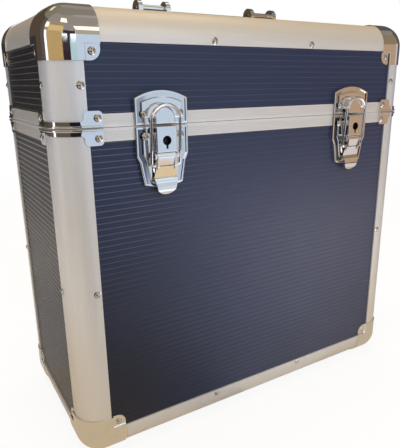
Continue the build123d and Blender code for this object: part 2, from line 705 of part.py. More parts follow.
for side, latch_mid in zip(("left", "right"), latch_centres):
    front = latch_front(latch_mid)
    profile = latch_side(latch_mid)
    with BuildPart() as lever:
        # skin: down from the knuckle, in to the valley, then out over the finger end
        with BuildSketch(profile):
            with BuildLine():
                top_out = (pivot_rise + knuckle_r, pivot_z)
                top_in = (pivot_rise + knuckle_r - lever_skin, pivot_z)
                bend_out = (valley_rise, valley_z)
                bend_in = (valley_rise - lever_skin, valley_z)
                tip_out = (valley_rise, lever_tip_z)
                tip_in = (valley_rise - lever_skin, lever_tip_z)
                Line(top_out, bend_out)
                ThreePointArc(bend_out, (swell_rise, swell_z), tip_out)
                Line(tip_out, tip_in)
                ThreePointArc(tip_in, (swell_rise - lever_skin, swell_z), bend_in)
                Line(bend_in, top_in)
                Line(top_in, top_out)
            make_face()
        extrude(amount=lever_wide / 2, both=True)
        # plan: straight at the pivot, flared below the ears, round at the tip
        flare_z = pivot_z - flare_from
        tip_shoulder = lever_tip_z + tip_shoulder_up
        with BuildSketch(front):
            with BuildLine():
                Polyline((-lever_tip_w / 2, tip_shoulder), (-lever_wide / 2, lever_wide_z),
                         (-lever_w / 2, flare_z), (-lever_w / 2, pivot_z + knuckle_r),
                         (lever_w / 2, pivot_z + knuckle_r), (lever_w / 2, flare_z),
                         (lever_wide / 2, lever_wide_z), (lever_tip_w / 2, tip_shoulder))
                ThreePointArc((lever_tip_w / 2, tip_shoulder), (0, lever_tip_z),
                              (-lever_tip_w / 2, tip_shoulder))
            make_face()
        extrude(amount=lock_rise + knuckle_r, mode=Mode.INTERSECT)
        with BuildSketch(profile):
            with Locations((pivot_rise, pivot_z)):
                Circle(knuckle_r)
        extrude(amount=lever_w / 2, both=True)
        # cheeks carry the bail's ends below the pivot
        for s in sides:
            with BuildSketch(profile.offset(s * (lever_w / 2 - cheek_t / 2))):
                with Locations((pivot_rise, pivot_z)):
                    Circle(knuckle_r)
                with Locations((bail_foot_rise, bail_foot_z)):
                    Circle(2 * wire_r)
                with Locations((valley_rise - lever_skin / 2, valley_z + cheek_foot_up)):
                    Circle(lever_skin / 2)
                make_hull()
            extrude(amount=cheek_t / 2, both=True)
        with BuildSketch(profile):
            with Locations((pivot_rise, pivot_z)):
                Circle(pivot_r + run_fit)
            with Locations((bail_foot_rise, bail_foot_z)):
                Circle(wire_r + run_fit)
        extrude(amount=lever_wide, both=True, mode=Mode.SUBTRACT)
    save(lever, f"latch_lever_{side}")

    bail_up = Vector(0, -(bail_head_rise - bail_foot_rise), bail_head_z - bail_foot_z)
    bail_plane = Plane(
        origin=(latch_mid, -half_d - bail_foot_rise, joint_z + bail_foot_z),
        x_dir=(1, 0, 0), z_dir=Vector(1, 0, 0).cross(bail_up))
    arch_y = bail_up.length - bail_arch_r
    bail_end = lever_w / 2 - cheek_t
    with BuildPart() as bail:
        with BuildLine(bail_plane):
            Line((-bail_end, 0), (bail_bend_r - bail_arch_r, 0))
            RadiusArc((bail_bend_r - bail_arch_r, 0), (-bail_arch_r, bail_bend_r), bail_bend_r)
            Line((-bail_arch_r, bail_bend_r), (-bail_arch_r, arch_y))
            ThreePointArc((-bail_arch_r, arch_y), (0, bail_up.length), (bail_arch_r, arch_y))
            Line((bail_arch_r, arch_y), (bail_arch_r, bail_bend_r))
            RadiusArc((bail_arch_r, bail_bend_r), (bail_arch_r - bail_bend_r, 0), bail_bend_r)
            Line((bail_arch_r - bail_bend_r, 0), (bail_end, 0))
        start = bail_plane.from_local_coords(Vector(-bail_end, 0, 0))
        with BuildSketch(Plane(origin=start, z_dir=(-1, 0, 0))):
            Circle(wire_r)
        sweep()
    save(bail, f"latch_bail_{side}")

# ---- hinges --------------------------------------------------------------------------------------


def hinge_back(x):
    """Back view at a hinge: x to the viewer's right, y up from the joint, z out of the case."""
    return Plane(origin=(x, half_d, joint_z), x_dir=(-1, 0, 0), z_dir=(0, 1, 0))


def hinge_side(x):
    """Side view at a hinge: x out of the case, y up from the joint."""
    return Plane(origin=(x, half_d, joint_z), x_dir=(0, 1, 0), z_dir=(1, 0, 0))


knuckle_len = hinge_w / hinge_knuckles
leaf_start = hinge_knuckle_r + hinge_leaf_gap
for shell, up, first, bore in (("base", -1, 0, seat_fit), ("lid", 1, 1, run_fit)):
    with BuildPart() as leaves:
        for sx in sides:
            with BuildSketch(hinge_back(sx * latch_x)):
                with Locations((0, up * (leaf_start + hinge_leaf_h) / 2)):
                    RectangleRounded(hinge_w, hinge_leaf_h - leaf_start, hinge_leaf_round)
            extrude(amount=hinge_leaf_t)
            for n in range(first, hinge_knuckles, 2):
                mid = sx * latch_x - hinge_w / 2 + (n + 0.5) * knuckle_len
                with BuildSketch(hinge_side(mid)):
                    with Locations((hinge_axis_out, 0)):
                        Circle(hinge_knuckle_r)
                    with Locations((hinge_leaf_t / 2, up * (leaf_start + hinge_lap))):
                        Rectangle(hinge_leaf_t, hinge_root)
                    make_hull()
                    with Locations((hinge_axis_out, 0)):
                        Circle(hinge_pin_r + bore, mode=Mode.SUBTRACT)
                extrude(amount=(knuckle_len - hinge_side_gap) / 2, both=True)
    save(leaves, f"hinge_leaves_{shell}")

with BuildPart() as hinge_pins:
    for sx in sides:
        with BuildSketch(hinge_side(sx * latch_x)):
            with Locations((hinge_axis_out, 0)):
                Circle(hinge_pin_r)
        extrude(amount=hinge_w / 2, both=True)
save(hinge_pins, "hinge_pins")

# ---- handle --------------------------------------------------------------------------------------

foot_base = frame_top - panel_in
axis_z = frame_top + handle_axis_h
with BuildPart() as brackets:
    for bracket_mid in bracket_centres:
        with BuildSketch(Plane.XY.offset(foot_base)):
            with Locations((bracket_mid, 0)):
                RectangleRounded(bracket_foot_w, bracket_foot_d, bracket_foot_round)
        extrude(amount=panel_in)
        for s in sides:
            ear_mid = bracket_mid + s * (ear_out - bracket_ear_t / 2)
            with BuildSketch(Plane(origin=(ear_mid, 0, frame_top), x_dir=(0, 1, 0),
                                   z_dir=(1, 0, 0))):
                round_z = bracket_ear_h - bracket_ear_d / 2
                with Locations((0, round_z)):
                    Circle(bracket_ear_d / 2)
                with Locations((0, (round_z - panel_in / 2) / 2)):
                    Rectangle(bracket_ear_d, round_z + panel_in / 2)
                with Locations((0, handle_axis_h)):
                    Circle(handle_pin_r + seat_fit, mode=Mode.SUBTRACT)
            extrude(amount=bracket_ear_t / 2, both=True)
save(brackets, "handle_brackets")

with BuildPart() as handle_pins:
    for bracket_mid in bracket_centres:
        with BuildSketch(Plane(origin=(bracket_mid, 0, axis_z), x_dir=(0, 1, 0),
                               z_dir=(1, 0, 0))):
            Circle(handle_pin_r)
        extrude(amount=ear_out + handle_pin_proud, both=True)
save(handle_pins, "handle_pins")

# folded handle, seen along X: from the pivot the strap runs back and slightly down to the grip
arm_vec = Vector(0, handle_reach, grip_centre_h - handle_axis_h)
arm_len = arm_vec.length


def arm_plane(x):
    """x along the strap from the pivot, y square to it, z along the case."""
    return Plane(origin=(x, 0, axis_z), x_dir=arm_vec, z_dir=(1, 0, 0))


ear_inside = ear_out - bracket_ear_t
strap_top = Plane(origin=(handle_shift, 0, axis_z), x_dir=(1, 0, 0), z_dir=Vector(1, 0, 0).cross(arm_vec))
with BuildPart() as handle_frame:
    for sx in sides:
        with BuildSketch(arm_plane(handle_shift + sx * bracket_x)):
            Circle(handle_knuckle_r)
        extrude(amount=ear_inside - handle_side_gap, both=True)
        # the strap narrows from the full knuckle to its width at the grip
        with BuildSketch(strap_top.offset(-strap_t / 2)):
            with BuildLine():
                wide = ear_inside - handle_side_gap
                x = sx * bracket_x
                near, far = strap_neck
                Polyline((x - wide, 0), (x - wide, near), (x - strap_w / 2, far),
                         (x - strap_w / 2, arm_len), (x + strap_w / 2, arm_len),
                         (x + strap_w / 2, far), (x + wide, near), (x + wide, 0), close=True)
            make_face()
        extrude(amount=strap_t)
    with BuildSketch(strap_top.offset(-strap_t / 2)):
        with Locations((0, arm_len)):
            Rectangle(2 * bracket_x + strap_w, core_w)
    extrude(amount=strap_t)
    for bracket_mid in bracket_centres:
        with BuildSketch(arm_plane(bracket_mid)):
            Circle(handle_pin_r + run_fit)
        extrude(amount=ear_out, both=True, mode=Mode.SUBTRACT)
save(handle_frame, "handle_frame")

with BuildPart() as grip:
    with BuildSketch(arm_plane(handle_shift)):
        with Locations((arm_len, 0)):
            RectangleRounded(grip_wide, grip_thick, grip_round)
    extrude(amount=grip_len / 2, both=True)
    ends = grip.faces().sort_by(Axis.X)[0].edges() + grip.faces().sort_by(Axis.X)[-1].edges()
    fillet(ends, radius=grip_end_round)
    add(handle_frame.part, mode=Mode.SUBTRACT)
save(grip, "handle_grip")
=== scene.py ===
import math

import bmesh
import bpy
from mathutils import Euler, Matrix, Vector


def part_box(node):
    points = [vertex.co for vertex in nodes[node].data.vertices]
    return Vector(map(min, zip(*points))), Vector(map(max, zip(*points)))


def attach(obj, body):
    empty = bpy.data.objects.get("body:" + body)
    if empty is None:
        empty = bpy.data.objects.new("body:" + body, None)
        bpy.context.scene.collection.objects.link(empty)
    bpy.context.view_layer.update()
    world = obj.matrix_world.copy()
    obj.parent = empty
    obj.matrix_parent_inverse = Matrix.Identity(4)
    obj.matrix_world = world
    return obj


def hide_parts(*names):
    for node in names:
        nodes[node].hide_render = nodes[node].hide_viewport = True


# Record carrying case, dressed: ribbed boards in satin aluminium edging, chrome caps, braces and latches, a padded
# lining, and a white set with coloured cards that only show in polished metal.  Metres, the case's own frame: the
# front faces -Y and the ground is z = 0.

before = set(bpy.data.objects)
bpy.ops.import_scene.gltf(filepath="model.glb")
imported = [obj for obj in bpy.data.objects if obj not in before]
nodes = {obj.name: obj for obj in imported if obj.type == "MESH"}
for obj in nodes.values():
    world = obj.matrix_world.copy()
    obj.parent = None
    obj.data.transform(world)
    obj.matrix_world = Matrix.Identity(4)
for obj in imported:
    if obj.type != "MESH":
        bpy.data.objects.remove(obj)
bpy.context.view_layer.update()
scene = bpy.context.scene

# ---- shader writing ----------------------------------------------------------------------------------

# sockets of a Mix node that mixes colours
mix_factor, mix_first, mix_second, mix_result = 0, 6, 7, 2


class Value:
    """A socket that can be added, multiplied and so on; each sign adds a Math node."""

    def __init__(self, writer, socket):
        self.writer = writer
        self.socket = socket

    def math(self, operation, *others):
        return self.writer.node("ShaderNodeMath", dict(enumerate((self, *others))), operation=operation)

    def __add__(self, other):
        return self.math("ADD", other)

    def __sub__(self, other):
        return self.math("SUBTRACT", other)

    def __rsub__(self, other):
        return self.writer.node("ShaderNodeMath", {0: other, 1: self}, operation="SUBTRACT")

    def __mul__(self, other):
        return self.math("MULTIPLY", other)

    def __truediv__(self, other):
        return self.math("DIVIDE", other)

    __radd__ = __add__


class Writer:
    """Adds nodes to a node tree."""

    def __init__(self, tree):
        self.tree = tree

    def fill(self, made, inputs):
        """Link or set the sockets of a node."""
        for key, value in inputs.items():
            if isinstance(value, Value):
                self.tree.links.new(value.socket, made.inputs[key])
            else:
                made.inputs[key].default_value = value

    def node(self, kind, inputs=None, out=0, **settings):
        """One node: settings first, then its sockets; gives the output numbered or named out."""
        made = self.tree.nodes.new(kind)
        for key, value in settings.items():
            setattr(made, key, value)
        self.fill(made, inputs or {})
        return Value(self, made.outputs[out])

    def mixed(self, factor, first, second):
        """Two shaders mixed by a value."""
        return self.node("ShaderNodeMixShader", {0: factor, 1: first, 2: second})


class Finish(Writer):
    """A material under construction."""

    def __init__(self, name):
        self.material = bpy.data.materials.new(name)
        self.material.use_nodes = True
        super().__init__(self.material.node_tree)
        self.shader = next(n for n in self.tree.nodes if n.type == "BSDF_PRINCIPLED")

    def place(self, centre=(0, 0, 0), scale=(1, 1, 1)):
        """Object coordinates about a centre, in metres times scale."""
        coordinates = self.node("ShaderNodeTexCoord", out="Object")
        shift = tuple(-c * s for c, s in zip(centre, scale))
        return self.node("ShaderNodeMapping", {"Vector": coordinates, "Location": shift, "Scale": scale})

    def axis(self, vector, letter):
        return self.node("ShaderNodeSeparateXYZ", {"Vector": vector}, out=letter)

    def noise(self, vector, size, detail=3.0, rough=0.55):
        """Noise from 0 to 1 whose features are about size metres across."""
        return self.node("ShaderNodeTexNoise",
                         {"Vector": vector, "Scale": 1 / size, "Detail": detail, "Roughness": rough})

    def band(self, value, low, high, to_low=0.0, to_high=1.0):
        """value between low and high, spread smoothly over to_low and to_high."""
        return self.node("ShaderNodeMapRange",
                         {"Value": value, "From Min": low, "From Max": high, "To Min": to_low, "To Max": to_high},
                         interpolation_type="SMOOTHSTEP")

    def blend(self, factor, first, second):
        """Two colours mixed by a value."""
        return self.node("ShaderNodeMix", {mix_factor: factor, mix_first: first, mix_second: second},
                         out=mix_result, data_type="RGBA")

    def by_height(self, first, *steps):
        """A colour that changes with height; each step is where it starts, where it ends and the next colour."""
        z = self.axis(self.place(), "Z")
        colour = first
        for low, high, following in steps:
            colour = self.blend(self.band(z, low, high), colour, following)
        return colour

    def bump(self, height, depth, strength=1.0, normal=None):
        """A normal raised by height, which runs from 0 to 1 over depth metres."""
        inputs = {"Strength": strength, "Distance": depth, "Height": height}
        if normal is not None:
            inputs["Normal"] = normal
        return self.node("ShaderNodeBump", inputs)

    def done(self, **inputs):
        """Set the sockets of the shader, with _ for each blank in their names."""
        self.fill(self.shader, {key.replace("_", " "): value for key, value in inputs.items()})
        return self.material


# ---- tones, linear -----------------------------------------------------------------------------------

white = (1, 1, 1, 1)
black = (0, 0, 0, 1)

# front, back, top and bottom boards: navy with a random grey, then a painted sheen, the painted highlight along
# each groove (also the flecks and scuffs), painted shade, painted light in the grooves and painted glints
navy = (0.004, 0.014, 0.060, 1)
navy_grey = (0.006, 0.015, 0.056, 1)
navy_painted_sheen = (0.040, 0.045, 0.086, 1)
pale_line = (0.050, 0.066, 0.12, 1)
painted_shade_tone = (0.003, 0.0035, 0.008, 1)
painted_groove_light = (0.095, 0.10, 0.15, 1)
glint = (0.15, 0.17, 0.24, 1)

# side boards, from the bottom up, and the lines on them: painted shade, as the navy laminate is painted charcoal
# on the sides and lighter towards the bottom, and painted highlights for the lines
charcoal_low = (0.040, 0.037, 0.040, 1)
charcoal = (0.014, 0.015, 0.020, 1)
charcoal_high = (0.006, 0.009, 0.017, 1)
pale_grey = (0.36, 0.34, 0.335, 1)
dim_grey = (0.19, 0.185, 0.185, 1)

# aluminium edging: aluminium and aluminium_dark are its own tones, and the rest are painted reflection and painted
# shade by height and side
aluminium = (0.73, 0.725, 0.735, 1)
aluminium_dark = (0.61, 0.60, 0.60, 1)
aluminium_warm = (0.725, 0.59, 0.39, 1)
aluminium_side = (0.59, 0.58, 0.58, 1)
aluminium_side_warm = (0.59, 0.51, 0.40, 1)
aluminium_low = (0.70, 0.62, 0.51, 1)
aluminium_mid = (0.685, 0.65, 0.605, 1)
aluminium_cool = (0.66, 0.70, 0.80, 1)

chrome_tone = (0.95, 0.955, 0.96, 1)
cap_dull = (0.84, 0.845, 0.85, 1)
latch_dull = (0.84, 0.85, 0.86, 1)
# painted dark reflection for the creases of the latch plates
painted_crease_reflection = (0.06, 0.075, 0.12, 1)
nickel = (0.74, 0.72, 0.69, 1)
nickel_dull = (0.58, 0.56, 0.53, 1)
steel = (0.62, 0.61, 0.60, 1)
steel_dull = (0.42, 0.41, 0.40, 1)

grip_tone = (0.012, 0.012, 0.013, 1)
grip_worn = (0.030, 0.030, 0.031, 1)
barrel_tone = (0.008, 0.008, 0.009, 1)
barrel_worn = (0.020, 0.019, 0.018, 1)
cloth_tone = (0.020, 0.020, 0.024, 1)
cloth_pale = (0.075, 0.075, 0.085, 1)
floor_white = (0.90, 0.90, 0.90, 1)

# ---- finishes ----------------------------------------------------------------------------------------

rib_pitch = 0.0045                        # from groove to groove
groove_core, groove_edge = 0.05, 0.09     # half width of a groove's floor and of its mouth, in pitches
crest_core, crest_edge = 0.06, 0.10       # the same for the pale edge, a painted highlight

# painted light on the navy boards: a painted sheen at the right, painted shade at the lower left and painted
# glints at the upper left; where each starts and where it is full, across the case and in height
painted_sheen_x, painted_sheen_z = (-0.12, 0.10), (0.30, 0.16)
painted_shade_x, painted_shade_z = (0.0, -0.15), (0.25, 0.03)
painted_glint_x, painted_glint_z = (-0.01, -0.13), (0.10, 0.22)
painted_shade_above = 0.22                        # the share of the painted shade that is there above its height band
lid_to_base, painted_glint_on_lid = (0.30, 0.25), 0.25


def ribbed_board(name, letter, centre, deep, line, grey, gloss, haze=None, steps=(), spread=1.0):
    """Dark laminated board with a pale edge to each groove, a painted highlight.

    letter is the way across the grooves, and spread widens the pale edges.  A haze colour adds painted light: a
    painted sheen at the right with its grooves painted lighter, painted shade at the lower left, and painted
    glints on the lines at the upper left.
    """
    f = Finish(name)
    deep = f.by_height(deep, *steps)
    place = f.place(centre)
    across = f.axis(place, letter)
    # distance from the middle of the nearest groove, in pitches
    turn = (across / rib_pitch + 0.5).math("FRACT")
    off = (turn - 0.5).math("ABSOLUTE")
    groove = 1 - f.band(off, groove_core, groove_edge)
    crest = 1 - f.band(off, crest_core * spread, crest_edge * spread)
    cloud = f.noise(place, 0.06, 2.0)
    fleck = f.noise(place, 0.0007, 4.0, 0.7)
    level = f.place(centre, (1, 1, 6))
    scuff = f.band(f.noise(level, 0.012, 4.0, 0.7), 0.60, 0.78)
    ground = f.blend(cloud, deep, grey)
    ground = f.blend(f.band(fleck, 0.30, 0.80) * 0.12, ground, line)
    # painted highlight: a pale line along the edge of each groove
    colour = f.blend(crest * (0.55 + cloud * 0.35), ground, line)
    colour = f.blend(scuff * 0.06, colour, line)
    relief = crest
    if haze:
        x, z = f.axis(place, "X"), f.axis(f.place(), "Z")
        # painted sheen towards the lower right, with the grooves under it painted lighter
        painted_sheen = f.band(x, *painted_sheen_x) * f.band(z, *painted_sheen_z)
        colour = f.blend(painted_sheen * (0.6 + cloud * 0.4), colour, haze)
        colour = f.blend(painted_sheen * groove * 0.9, colour, painted_groove_light)
        # painted shade at the lower left, nearly black, with its grooves painted slightly lighter
        painted_shade = f.band(x, *painted_shade_x) * f.band(z, *painted_shade_z, painted_shade_above, 1.0)
        colour = f.blend(painted_shade * 0.85, colour, painted_shade_tone)
        colour = f.blend(painted_shade * groove * 0.22, colour, painted_groove_light)
        # painted glints on the grooves at the upper left, weaker on the lid
        painted_glint = f.band(x, *painted_glint_x) * f.band(z, *painted_glint_z) * f.band(z, *lid_to_base, painted_glint_on_lid, 1.0)
        colour = f.blend(painted_glint * groove * 0.5, colour, glint)
        relief = crest * (1 - painted_sheen * 0.75 - painted_shade * 0.40)
    rough = 0.33 + fleck * 0.12 + groove * 0.12 + scuff * 0.10
    fine = f.bump(fleck, 0.00006)
    normal = f.bump(relief, 0.00010, 0.8, fine)
    return f.done(Base_Color=colour, Roughness=rough, Specular_IOR_Level=gloss, Normal=normal)


def satin_metal(name, letter, tone, dark, rough=0.30, grain=0.0006, metal=1.0, steps=()):
    """Drawn metal with fine lines along one axis; its tone may change in steps with height."""
    f = Finish(name)
    tone = f.by_height(tone, *steps)
    drawn = f.place(scale=tuple(0.02 if axis == letter else 1 for axis in "XYZ"))
    lines = f.noise(drawn, grain, 3.0, 0.65)
    wide = f.noise(drawn, 0.006, 2.0)
    place = f.place()
    cloud = f.noise(place, 0.045, 3.0)
    nick = f.band(f.noise(place, 0.0022, 5.0, 0.75), 0.66, 0.80)
    colour = f.blend(f.band(lines, 0.30, 0.70) * 0.5 + wide * 0.35, tone, dark)
    colour = f.blend(nick * 0.25, colour, dark)
    shine = rough - 0.05 + lines * 0.12 + cloud * 0.08 + nick * 0.10
    return f.done(Base_Color=colour, Metallic=metal, Roughness=shine, Normal=f.bump(lines, 0.00002, 0.7))


crease_core, crease_edge = 0.00025, 0.0005          # half width of the painted dark reflection in the crease: full, and none
crease_reflection_right, crease_reflection_left = -0.010, -0.016        # where the painted dark reflection changes, from the plate's middle


def bright_plate(name, tone, dull, rough=0.035, crease=None):
    """Polished plating with handling haze, fine scratches and a few pits.

    crease is for a pressed plate: its middle in x, its crease in y, and how strong a painted dark reflection lies
    in the crease on the right and on the left.
    """
    f = Finish(name)
    place, level = f.place(), f.place(scale=(1, 1, 14))
    haze = f.band(f.noise(place, 0.018, 4.0, 0.6), 0.42, 0.75)
    scratch = f.band(f.noise(level, 0.003, 5.0, 0.8), 0.62, 0.74)
    pit = f.band(f.noise(place, 0.0009, 3.0, 0.8), 0.70, 0.78)
    colour = f.blend(haze * 0.45 + pit * 0.4, tone, dull)
    if crease:
        middle_x, crease_y, right, left = crease
        depth = (f.axis(place, "Y") - crease_y).math("ABSOLUTE")
        amount = f.band(f.axis(place, "X"), middle_x + crease_reflection_right, middle_x + crease_reflection_left, right, left)
        # painted dark reflection of the navy board along the crease inside the plate's border, stronger on the
        # left
        colour = f.blend((1 - f.band(depth, crease_core, crease_edge)) * amount, colour, painted_crease_reflection)
    shine = rough + haze * 0.05 + scratch * 0.06 + pit * 0.12
    ripple = f.bump(f.noise(place, 0.011, 2.0), 0.00009, 0.5)
    return f.done(Base_Color=colour, Metallic=1.0, Roughness=shine, Normal=f.bump(pit, 0.00002, 0.4, ripple))


def moulded(name, tone, worn, rough=0.42, grain=0.0009, depth=0.00012):
    """Moulded plastic with a fine leathery grain, worn shiny here and there."""
    f = Finish(name)
    place = f.place()
    cells = f.node("ShaderNodeTexVoronoi", {"Vector": place, "Scale": 1 / grain, "Smoothness": 0.6},
                   feature="SMOOTH_F1")
    rub = f.band(f.noise(place, 0.025, 3.0), 0.40, 0.72)
    colour = f.blend(rub * 0.45 + cells * 0.25, tone, worn)
    shine = rough + 0.16 - rub * 0.18 + cells * 0.06
    return f.done(Base_Color=colour, Roughness=shine, Normal=f.bump(cells, depth, 0.6))


twill_pitch, cross_pitch = 0.0011, 0.0013


def brushed_cloth(name, tone, pale):
    """Brushed lining cloth: a fine twill under a short nap."""
    f = Finish(name)
    place = f.place()
    x, y, z = (f.axis(place, letter) for letter in "XYZ")
    rib = ((x + y * 0.6 + z) * (math.tau / twill_pitch)).math("SINE")
    cross = ((x - y - z * 0.6) * (math.tau / cross_pitch)).math("SINE")
    weave = 0.5 + rib * 0.28 + cross * 0.18
    nap = f.noise(place, 0.0009, 5.0, 0.75)
    shade = f.noise(place, 0.03, 3.0)
    colour = f.blend(f.band(nap, 0.25, 0.8) * 0.45 + weave * 0.2 + shade * 0.25, tone, pale)
    normal = f.bump(weave, 0.00012, 0.6, f.bump(nap, 0.00018, 0.5))
    return f.done(Base_Color=colour, Roughness=0.86 + nap * 0.1, Sheen_Weight=0.35, Sheen_Roughness=0.4,
                  Normal=normal)


# ---- dressing the parts ------------------------------------------------------------------------------


def dress(name, material):
    """Give a carried-over piece its finish."""
    mesh = nodes[name].data
    mesh.materials.clear()
    mesh.materials.append(material)


def middle(name):
    low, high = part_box(name)
    return (low + high) / 2


# boards
front_gloss, side_gloss = 0.62, 0.30
# painted shade on the side boards: darker than the navy boards, lighter towards the bottom
side_board_steps = ((0.0, 0.17, charcoal), (0.22, 0.29, charcoal_high))
for name in nodes:
    if "_panel_" not in name:
        continue
    side = name.split("_")[-1]
    centre = tuple(middle(name))
    if side in ("left", "right"):
        line, spread = (pale_grey, 1.7) if name.startswith("base") else (dim_grey, 0.85)
        board = ribbed_board(f"board_{name}", "Z", centre, charcoal_low, line, charcoal, side_gloss,
                             steps=side_board_steps, spread=spread)
    else:
        letter = "Y" if side in ("top", "bottom") else "Z"
        board = ribbed_board(f"board_{name}", letter, centre, navy, pale_line, navy_grey, front_gloss, navy_painted_sheen)
    dress(name, board)

# edging, by the axis that each length is drawn along; its tones by height are painted reflection, beige at the
# foot, warm along the top rail and bluish on the upper posts, and the lengths along Y are painted darker as shade
above_foot, top_rail = (0.0, 0.04), (0.326, 0.350)
edging_steps = {
    "X": ((*above_foot, aluminium), (*top_rail, aluminium_warm)),
    "Y": ((*above_foot, aluminium_side), (*top_rail, aluminium_side_warm)),
    "Z": ((0.03, 0.17, aluminium_mid), (0.18, 0.31, aluminium_cool)),
}
edging = {
    letter: satin_metal(f"aluminium_{letter.lower()}", letter, aluminium_low, aluminium_dark, 0.36, metal=0.50,
                        steps=steps)
    for letter, steps in edging_steps.items()
}
for name in nodes:
    if "_post" in name:
        dress(name, edging["Z"])
    elif "_edge_" in name or "_rim_" in name:
        dress(name, edging["X" if name.endswith(("front", "back")) else "Y"])

# fittings
latch_rough = 0.06
chrome = bright_plate("chrome_caps", chrome_tone, cap_dull)
latch_chrome = bright_plate("chrome_latches", chrome_tone, latch_dull, latch_rough)
rivet_steel = bright_plate("rivet_nickel", nickel, nickel_dull, 0.16)
pin_steel = satin_metal("pin_steel", "X", steel, steel_dull, grain=0.0003)
for name in nodes:
    if name.endswith(("_caps", "_braces")) or name.startswith("hinge_leaves"):
        dress(name, chrome)
    elif name.startswith(("lock_housing", "latch_lever", "latch_bail")):
        dress(name, latch_chrome)
    elif name.endswith("_rivets"):
        dress(name, rivet_steel)
    elif name.endswith("_pins"):
        dress(name, pin_steel)

border_out = 0.0012                       # from the edging's face to the latch plates' recessed border
crease_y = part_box("base_post_front_left")[0].y - border_out
for side in ("left", "right"):
    middle_x = middle(f"latch_plate_{side}").x
    for name, right, left in ((f"latch_plate_{side}", 0.12, 0.90), (f"latch_keeper_{side}", 0.06, 0.50)):
        dress(name, bright_plate(f"chrome_{name}", chrome_tone, latch_dull, latch_rough,
                                 (middle_x, crease_y, right, left)))
dress("handle_brackets", latch_chrome)
dress("handle_frame", latch_chrome)
dress("handle_grip", moulded("grip_black", grip_tone, grip_worn))

# ---- new pieces --------------------------------------------------------------------------------------


def linked(name, bm, material):
    """Turn a bmesh into an object of the scene."""
    mesh = bpy.data.meshes.new(name)
    bm.to_mesh(mesh)
    bm.free()
    mesh.materials.append(material)
    thing = bpy.data.objects.new(name, mesh)
    scene.collection.objects.link(thing)
    return thing


def finished(name, bm, material, body, smooth=True):
    """Turn a bmesh into a piece that rides on a body."""
    bmesh.ops.recalc_face_normals(bm, faces=bm.faces)
    piece = linked(name, bm, material)
    piece.data.shade_smooth() if smooth else piece.data.shade_flat()
    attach(piece, body)
    return piece


# ---- padded lining -----------------------------------------------------------------------------------

lining_cloth = brushed_cloth("lining_cloth", cloth_tone, cloth_pale)
lining_t = 0.0025                         # the CAD tray's thickness, which the pads fill
pad_gap = 0.0002
pad_grid, pad_least = 0.006, 8            # size of a pad's faces, and the fewest along a side
crown_run = 0.009                         # from the edge to the full height
seam_in, seam_half = 0.007, 0.0014        # the stitched line: distance from the edge, half width
drawn_in = 0.0006                         # how far the sides bow in between the corners
edge_share, crown_share, seam_share, wave_share = 0.34, 0.56, 0.26, 0.10      # of the thickness
floor_margin, wall_inset = 0.006, 0.0062


def pad(name, body, centre, across, up, wide, high):
    """A thin stuffed pad on a wall: crowned, drawn in along its sides and stitched all round."""
    out = across.cross(up)
    columns, rows = (max(pad_least, round(length / pad_grid)) for length in (wide, high))
    bm = bmesh.new()
    bmesh.ops.create_grid(bm, x_segments=columns, y_segments=rows, size=0.5)
    shell = bmesh.ops.extrude_face_region(bm, geom=list(bm.faces))
    top = {v for v in shell["geom"] if isinstance(v, bmesh.types.BMVert)}
    half_wide, half_high = wide / 2, high / 2
    for v in bm.verts:
        x, y = v.co.x * wide, v.co.y * high
        from_edge = min(half_wide - abs(x), half_high - abs(y))
        rise = min(1.0, from_edge / crown_run)
        crown = math.sin(rise * math.pi / 2) ** 0.6 if rise > 0 else 0.0
        seam = math.exp(-((from_edge - seam_in) / seam_half) ** 2)
        wave = wave_share * math.sin(x * 95 + y * 31) * math.sin(y * 83 - x * 17)      # slow, in radians per metre
        share = edge_share + crown_share * crown - seam_share * seam + wave * crown
        height = lining_t * share if v in top else 0.0
        draw = drawn_in * math.sin(math.pi * (x / wide + 0.5)) * (abs(y) / half_high) ** 6
        pull = drawn_in * math.sin(math.pi * (y / high + 0.5)) * (abs(x) / half_wide) ** 6
        x -= math.copysign(pull, x)
        y -= math.copysign(draw, y)
        v.co = centre + across * x + up * y + out * height
    piece = finished(name, bm, lining_cloth, body)
    return piece


def line_tray(node, body, closed_low):
    """Five pads that line one half of the case; closed_low says whether its closed side is below."""
    low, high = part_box(node)
    mid = (low + high) / 2
    wide, deep, tall = high - low
    floor_z = low.z if closed_low else high.z
    up = Vector((0, 0, 1 if closed_low else -1))
    wall_tall = tall - lining_t - 3 * pad_gap
    wall_mid = floor_z + up.z * (lining_t + pad_gap + wall_tall / 2)
    x, y = Vector((1, 0, 0)), Vector((0, 1, 0))
    pads = [pad(f"{node}_floor", body, Vector((mid.x, mid.y, floor_z)), x, y * up.z,
                wide - floor_margin, deep - floor_margin)]
    for side, centre, across, length in (
        ("front", Vector((0, low.y, wall_mid)), -x * up.z, wide - 2 * wall_inset),
        ("back", Vector((0, high.y, wall_mid)), x * up.z, wide - 2 * wall_inset),
        ("left", Vector((low.x, 0, wall_mid)), y * up.z, deep - 2 * wall_inset),
        ("right", Vector((high.x, 0, wall_mid)), -y * up.z, deep - 2 * wall_inset),
    ):
        pads.append(pad(f"{node}_{side}", body, centre, across, up, length, wall_tall))
    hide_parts(node)


line_tray("base_lining", "base", True)
line_tray("lid_lining", "lid", False)

# ---- lock barrels ------------------------------------------------------------------------------------

barrel_black = moulded("barrel_black", barrel_tone, barrel_worn, 0.35, 0.0005, 0.00004)
lock_wall = 0.0012                        # the housing's wall, which the keyhole goes through
barrel_gap = 0.0001
key_drop = 0.0108                         # keyhole below the joint
joint_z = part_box("base_post_front_left")[1].z
barrel_r, barrel_long = 0.0058, 0.0048
well_r, well_deep = 0.0038, 0.0040
post_foot_r, post_tip_r, post_long, post_in = 0.0009, 0.0008, 0.0030, 0.0026


def verts_of(made):
    """The vertices that a bmesh operator gave back."""
    return [v for v in made["geom"] if isinstance(v, bmesh.types.BMVert)]


def edges_within(bm, verts):
    return [e for e in bm.edges if all(v in verts for v in e.verts)]


